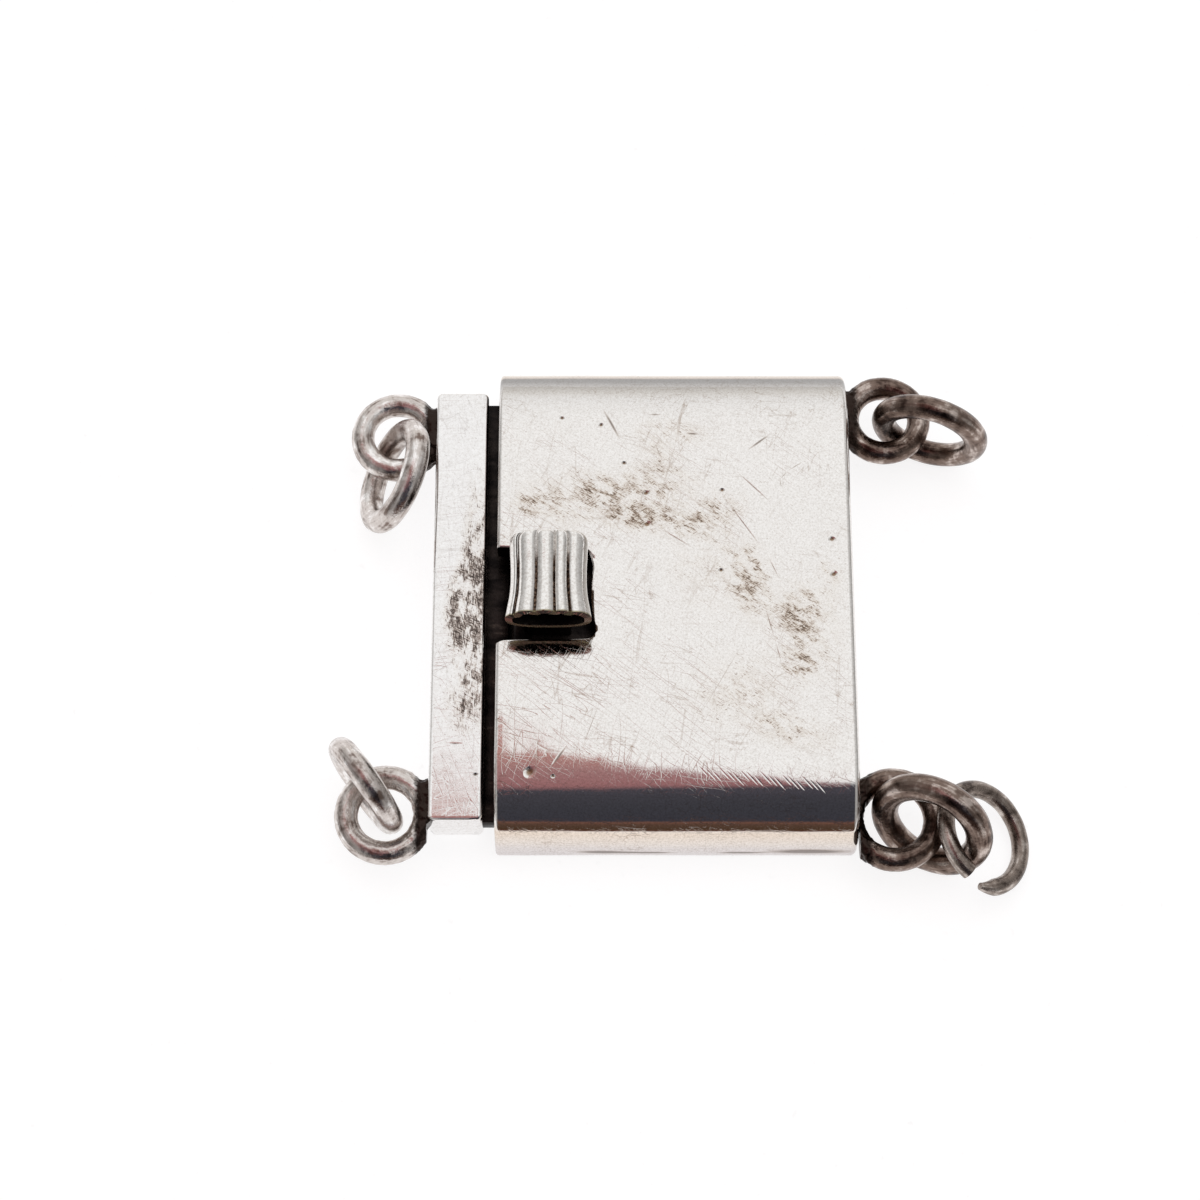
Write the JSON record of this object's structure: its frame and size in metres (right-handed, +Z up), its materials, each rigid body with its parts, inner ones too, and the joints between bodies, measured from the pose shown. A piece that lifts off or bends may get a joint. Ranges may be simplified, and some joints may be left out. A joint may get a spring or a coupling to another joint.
{
  "type": "box clasp",
  "caption": "Flat silver box clasp: a wrapped sheet box with a folded spring tongue, a fluted thumb tab, soldered eyes and round jump rings, lying closed.",
  "frame": {"origin": "middle of the flat underside of the box", "axes": "+X from the end bar through the mouth to the closed end of the box, +Y across the clasp, +Z up out of the flat underside"},
  "size_m": [0.035, 0.0284, 0.0078],
  "materials": {
    "box_silver": "polished silver with fine scratches and brown tarnish",
    "tongue_silver": "polished silver with worn brown tarnish",
    "tab_silver": "polished silver, dark between the flutes",
    "ring_silver": "darkened silver wire with bright worn streaks",
    "open_ring_silver": "darkened silver wire"
  },
  "bodies": {
    "box": {"box": "box_silver", "jump_ring_back_right": "ring_silver", "jump_ring_front_right": "ring_silver", "open_jump_ring": "open_ring_silver"},
    "tongue": {"tongue": "tongue_silver", "jump_ring_back_left": "ring_silver", "jump_ring_front_left": "ring_silver"},
    "leaf": {"spring_leaf": "tab_silver"}
  },
  "joints": [
    {"name": "tongue_slide", "type": "slide", "parent": "box", "child": "tongue", "axis": [-1, 0, 0], "range_m": [0, 0.0155]},
    {"name": "tab_press", "type": "hinge", "parent": "tongue", "child": "leaf", "pos_m": [0.0071, 0, 0.00175], "axis": [0, -1, 0], "range_deg": [0, 3.5], "stiffness_Nm_per_rad": 0.02}
  ]
}
